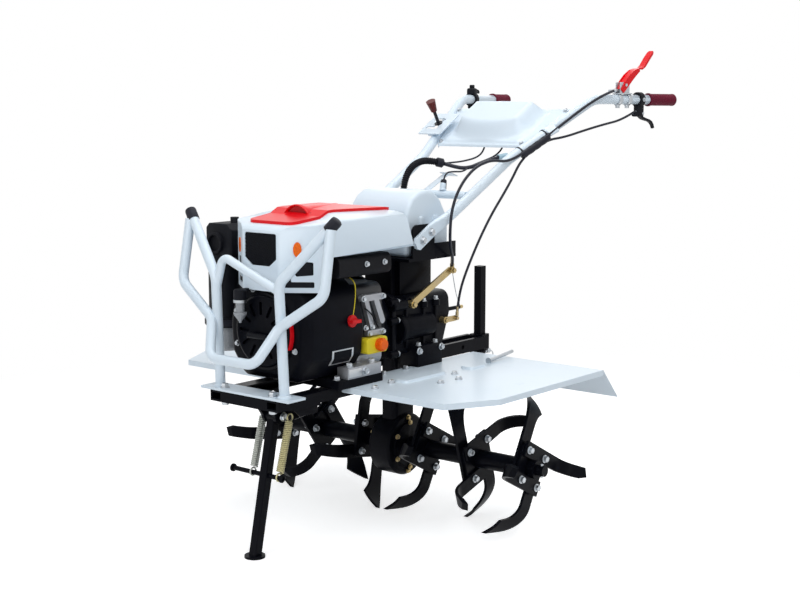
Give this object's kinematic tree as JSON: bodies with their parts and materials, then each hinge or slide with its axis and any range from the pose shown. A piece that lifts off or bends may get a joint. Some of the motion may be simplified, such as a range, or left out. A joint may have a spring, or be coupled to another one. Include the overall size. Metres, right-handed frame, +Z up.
{
  "type": "power tiller",
  "caption": "Walk-behind diesel power tiller with a tined rotor, broad fenders, tubular front guard, long handlebars, folding front stand and a sliding depth bar.",
  "frame": {"origin": "middle of the footprint's box on the ground", "axes": "+X the way it drives, +Y its left hand, +Z up"},
  "size_m": [1.5712, 1.0222, 1.2549],
  "materials": {
    "aluminium": "as cast",
    "black_paint": "satin",
    "black_plastic": "matte",
    "black_rubber": "matte",
    "brass_plate": "satin",
    "dark_red_rubber": "matte",
    "grey_plastic": "satin",
    "orange_plastic": "gloss",
    "red_plastic": "gloss",
    "white_paint": "gloss",
    "white_plastic": "gloss",
    "yellow_plastic": "gloss",
    "zinc_steel": "zinc plated"
  },
  "bodies": {
    "machine": {"air_cleaner": "black_plastic", "air_cleaner_bowl": "grey_plastic", "battery_box": "white_plastic", "bell_housing": "black_paint", "bumper_caps": "black_rubber", "chassis_rails": "black_paint", "clutch_arm": "brass_plate", "clutch_cable": "black_rubber", "clutch_lever": "red_plastic", "console": "white_paint", "crankcase": "aluminium", "cylinder_cowl": "black_paint", "engine_mount_plate": "black_paint", "fan_housing": "black_paint", "fender_left": "white_paint", "fender_right": "white_paint", "filler_caps": "orange_plastic", "final_drive": "black_paint", "front_bumper": "white_paint", "fuel_filter": "grey_plastic", "gear_gate": "white_paint", "gear_lever": "black_plastic", "gearbox": "black_paint", "grips": "dark_red_rubber", "hand_levers": "black_plastic", "handle_bracket": "black_paint", "handlebar_left": "white_paint", "handlebar_right": "white_paint", "handlebar_tie": "white_paint", "hitch": "black_paint", "hood": "white_plastic", "hood_grille": "black_plastic", "hood_top_cover": "red_plastic", "oil_filler": "yellow_plastic", "recoil_starter": "black_paint", "reflectors": "orange_plastic", "reverse_cable": "black_rubber", "silencer": "black_paint", "stand_bracket": "black_paint", "stand_springs": "zinc_steel", "starter_grip": "red_plastic", "wiring_loom": "black_rubber"},
    "rotor": {"rotor_shaft": "black_paint", "tines_left_inner": "black_paint", "tines_left_middle": "black_paint", "tines_left_outer": "black_paint", "tines_right_inner": "black_paint", "tines_right_middle": "black_paint", "tines_right_outer": "black_paint"},
    "stand": {"stand_leg": "black_paint"},
    "depth_bar": {"depth_bar": "black_paint"}
  },
  "joints": [
    {"name": "rotor_spin", "type": "hinge", "parent": "machine", "child": "rotor", "pos_m": [0.15309, 0, 0.18438], "axis": [0, 1, 0], "continuous": true},
    {"name": "stand_fold", "type": "hinge", "parent": "machine", "child": "stand", "pos_m": [0.63409, 0, 0.34598], "axis": [0, 1, 0], "range_deg": [0, 95], "deforming": ["stand_springs"]},
    {"name": "depth_bar_slide", "type": "slide", "parent": "machine", "child": "depth_bar", "axis": [0, 0, 1], "range_m": [-0.18, 0.12]}
  ]
}
